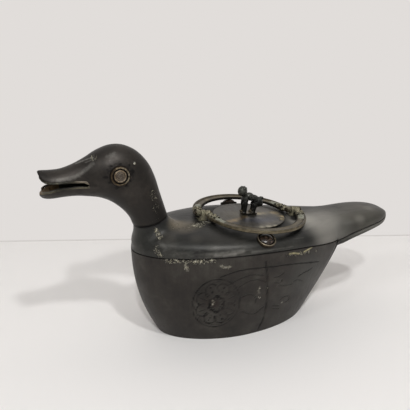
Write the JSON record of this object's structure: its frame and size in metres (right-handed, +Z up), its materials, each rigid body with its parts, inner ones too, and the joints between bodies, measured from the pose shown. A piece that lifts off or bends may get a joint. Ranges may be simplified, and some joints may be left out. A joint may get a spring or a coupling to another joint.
{
  "type": "duck-shaped wine jug",
  "caption": "Duck-shaped metal wine jug with hollow neck and open bill as its spout, round lift-off lid with animal knob, and a flat double swing ring handle.",
  "frame": {"origin": "centre of the overall box at its base, on the surface the jug stands on", "axes": "+Z up, the bill points along -X and the tail along +X, +Y to the duck's right"},
  "size_m": [0.33, 0.1106, 0.1796],
  "materials": {
    "pewter": "hammered sheet pewter, dark aged, dull",
    "cast_pewter": "cast pewter, dark aged, smooth",
    "handle_brass": "aged dull brass",
    "brass": "tarnished brass",
    "dark_bronze": "dark patinated cast bronze",
    "black_ring": "blackened brass",
    "amber_stone": "polished brown stone",
    "brown_stone": "polished dark stone"
  },
  "bodies": {
    "jug": {"base_plate": "pewter", "hull": "pewter", "back_shell": "pewter", "tail_underplate": "pewter", "neck_and_head": "cast_pewter", "upper_lip": "brass", "lower_lip": "brass", "eye_bezel_left": "brass", "eye_ring_left": "black_ring", "eye_stone_left": "amber_stone", "stud_bezel_left": "brass", "stud_stone_left": "brown_stone", "eye_bezel_right": "brass", "eye_ring_right": "black_ring", "eye_stone_right": "amber_stone", "stud_bezel_right": "brass", "stud_stone_right": "brown_stone", "mouth_collar": "pewter", "front_lug": "handle_brass", "front_pin": "brass", "rear_lug": "handle_brass", "rear_pin": "brass"},
    "lid": {"lid": "pewter", "lid_flange": "pewter", "lid_knob": "dark_bronze", "knob_rivet": "brass"},
    "handle_left": {"handle_left": "handle_brass"},
    "handle_right": {"handle_right": "handle_brass"}
  },
  "joints": [
    {"name": "handle_left_swing", "type": "hinge", "parent": "jug", "child": "handle_left", "pos_m": [0.01789, 0, 0.10649], "axis": [-0.9968, 0, 0.0797], "range_deg": [0, 85]},
    {"name": "handle_right_swing", "type": "hinge", "parent": "jug", "child": "handle_right", "pos_m": [0.01789, 0, 0.10649], "axis": [0.9968, 0, -0.0797], "range_deg": [0, 85]},
    {"name": "lid_lift", "type": "slide", "parent": "jug", "child": "lid", "axis": [0.0797, 0, 0.9968], "range_m": [0, 0.015]}
  ]
}
